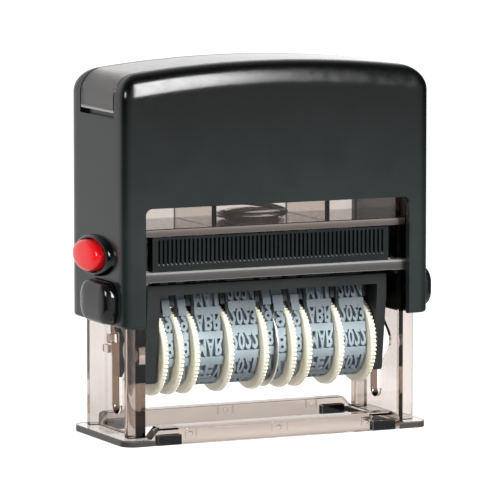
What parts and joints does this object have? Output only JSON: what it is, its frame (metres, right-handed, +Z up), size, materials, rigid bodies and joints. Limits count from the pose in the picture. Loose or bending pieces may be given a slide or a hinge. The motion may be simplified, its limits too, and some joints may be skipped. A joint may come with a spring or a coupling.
{
  "type": "self-inking date stamp",
  "caption": "Self-inking date stamp: black sliding cap over a smoke-clear frame, ivory thumbwheels turning blue-grey date bands, flipping carrier, slide-out ink pad, red lock button",
  "frame": {"origin": "centre of the underside of the foot, on the table", "axes": "+X to the right of the stamp, +Y to its back, +Z up; the lock button is on -X"},
  "size_m": [0.0688, 0.026, 0.0714],
  "materials": {
    "smoke_clear": "glossy smoke-tinted clear plastic, warm brown-grey",
    "foot_rubber": "matt dark rubber",
    "tray_black": "glossy black plastic with moulded grip ribs",
    "felt": "ink-soaked felt",
    "spring_steel": "bright spring wire",
    "cap_black": "satin cool black moulded plastic",
    "index_clear": "glossy clear moulded plastic, faintly smoky",
    "button_red": "glossy red plastic",
    "button_black": "glossy black plastic",
    "carrier_charcoal": "matt charcoal moulded plastic",
    "axle_steel": "drawn steel",
    "disc_steel": "bright sheet steel",
    "wheel_ivory": "satin ivory moulded plastic",
    "band_rubber": "powdery blue-grey moulded rubber"
  },
  "bodies": {
    "frame": {"foot_frame": "smoke_clear", "rubber_foot_1": "foot_rubber", "rubber_foot_2": "foot_rubber", "rubber_foot_3": "foot_rubber", "rubber_foot_4": "foot_rubber", "body_frame": "smoke_clear", "return_spring": "spring_steel"},
    "cap": {"cap_shell": "cap_black"},
    "carrier": {"band_carrier": "carrier_charcoal", "print_bridge": "carrier_charcoal", "wheel_axle": "axle_steel", "axle_clip_left": "axle_steel", "axle_clip_right": "axle_steel", "separator_disc": "disc_steel", "date_band_1": "band_rubber", "date_band_2": "band_rubber", "date_band_3": "band_rubber", "date_band_4": "band_rubber", "date_band_5": "band_rubber", "date_band_6": "band_rubber", "date_band_7": "band_rubber", "date_band_8": "band_rubber", "date_band_9": "band_rubber"},
    "lock": {"lock_button": "button_red"},
    "button_left": {"side_button_left": "button_black"},
    "button_right": {"side_button_right": "button_black"},
    "ink_pad": {"ink_pad_tray": "tray_black", "ink_pad_felt": "felt"},
    "index": {"index_window": "index_clear"},
    "wheel_1": {"thumbwheel_1": "wheel_ivory"},
    "wheel_2": {"thumbwheel_2": "wheel_ivory"},
    "wheel_3": {"thumbwheel_3": "wheel_ivory"},
    "wheel_4": {"thumbwheel_4": "wheel_ivory"},
    "wheel_5": {"thumbwheel_5": "wheel_ivory"},
    "wheel_6": {"thumbwheel_6": "wheel_ivory"},
    "wheel_7": {"thumbwheel_7": "wheel_ivory"},
    "wheel_8": {"thumbwheel_8": "wheel_ivory"},
    "wheel_9": {"thumbwheel_9": "wheel_ivory"}
  },
  "joints": [
    {"name": "cap_slide", "type": "slide", "parent": "frame", "child": "cap", "axis": [0, 0, -1], "range_m": [0, 0.0196], "stiffness_N_per_m": 300, "springref_m": -0.015, "deforming": ["return_spring"]},
    {"name": "carrier_flip", "type": "hinge", "parent": "cap", "child": "carrier", "pos_m": [0, 0, 0.026], "axis": [-1, 0, 0], "range_deg": [0, 180]},
    {"name": "lock_press", "type": "slide", "parent": "cap", "child": "lock", "axis": [1, 0, 0], "range_m": [0, 0.0012], "stiffness_N_per_m": 500, "springref_m": -0.001},
    {"name": "side_press_left", "type": "slide", "parent": "cap", "child": "button_left", "axis": [1, 0, 0], "range_m": [0, 0.0012], "stiffness_N_per_m": 500, "springref_m": -0.001},
    {"name": "side_press_right", "type": "slide", "parent": "cap", "child": "button_right", "axis": [-1, 0, 0], "range_m": [0, 0.0012], "stiffness_N_per_m": 500, "springref_m": -0.001},
    {"name": "ink_pad_slide", "type": "slide", "parent": "frame", "child": "ink_pad", "axis": [0, 1, 0], "range_m": [-0.03, 0]},
    {"name": "index_lift", "type": "slide", "parent": "cap", "child": "index", "axis": [0, 0, 1], "range_m": [0, 0.012]},
    {"name": "wheel_turn_1", "type": "hinge", "parent": "carrier", "child": "wheel_1", "pos_m": [0, 0, 0.0161], "axis": [1, 0, 0], "continuous": true},
    {"name": "wheel_turn_2", "type": "hinge", "parent": "carrier", "child": "wheel_2", "pos_m": [0, 0, 0.0161], "axis": [1, 0, 0], "continuous": true},
    {"name": "wheel_turn_3", "type": "hinge", "parent": "carrier", "child": "wheel_3", "pos_m": [0, 0, 0.0161], "axis": [1, 0, 0], "continuous": true},
    {"name": "wheel_turn_4", "type": "hinge", "parent": "carrier", "child": "wheel_4", "pos_m": [0, 0, 0.0161], "axis": [1, 0, 0], "continuous": true},
    {"name": "wheel_turn_5", "type": "hinge", "parent": "carrier", "child": "wheel_5", "pos_m": [0, 0, 0.0161], "axis": [1, 0, 0], "continuous": true},
    {"name": "wheel_turn_6", "type": "hinge", "parent": "carrier", "child": "wheel_6", "pos_m": [0, 0, 0.0161], "axis": [1, 0, 0], "continuous": true},
    {"name": "wheel_turn_7", "type": "hinge", "parent": "carrier", "child": "wheel_7", "pos_m": [0, 0, 0.0161], "axis": [1, 0, 0], "continuous": true},
    {"name": "wheel_turn_8", "type": "hinge", "parent": "carrier", "child": "wheel_8", "pos_m": [0, 0, 0.0161], "axis": [1, 0, 0], "continuous": true},
    {"name": "wheel_turn_9", "type": "hinge", "parent": "carrier", "child": "wheel_9", "pos_m": [0, 0, 0.0161], "axis": [1, 0, 0], "continuous": true}
  ],
  "couplings": [
    {"joint": "carrier_flip", "follows": "cap_slide", "rad_per_m": 160.28}
  ]
}
